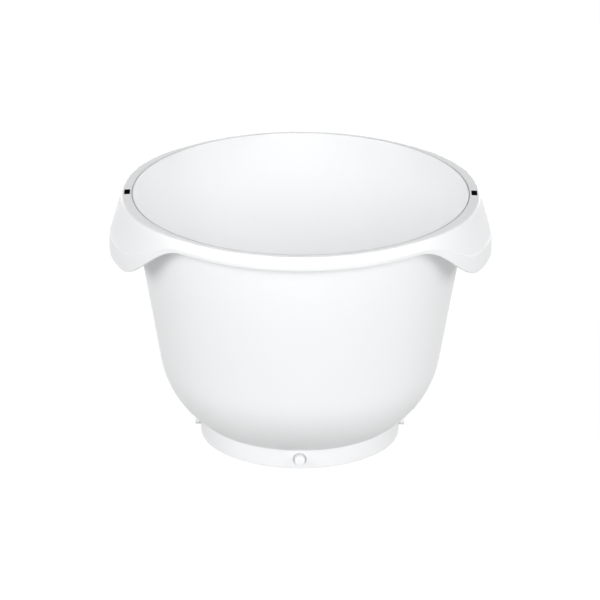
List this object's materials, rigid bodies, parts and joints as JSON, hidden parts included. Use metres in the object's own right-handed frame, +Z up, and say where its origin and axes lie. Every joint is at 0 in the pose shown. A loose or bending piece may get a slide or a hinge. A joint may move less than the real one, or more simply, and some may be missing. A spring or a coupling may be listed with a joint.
{
  "type": "stand mixer bowl",
  "caption": "One-piece white plastic stand mixer bowl with a flat rim, hollow drooping side handles, and a foot ring with round locking bosses that seat in the machine.",
  "frame": {"origin": "centre of the foot ring, in the plane that the bowl stands on", "axes": "+Z up the bowl's axis to its mouth, +X through the middle of one handle"},
  "size_m": [0.2472, 0.2278, 0.1662],
  "materials": {
    "white_plastic": "satin white"
  },
  "bodies": {
    "root": {"mixing_bowl": "white_plastic"}
  },
  "joints": []
}
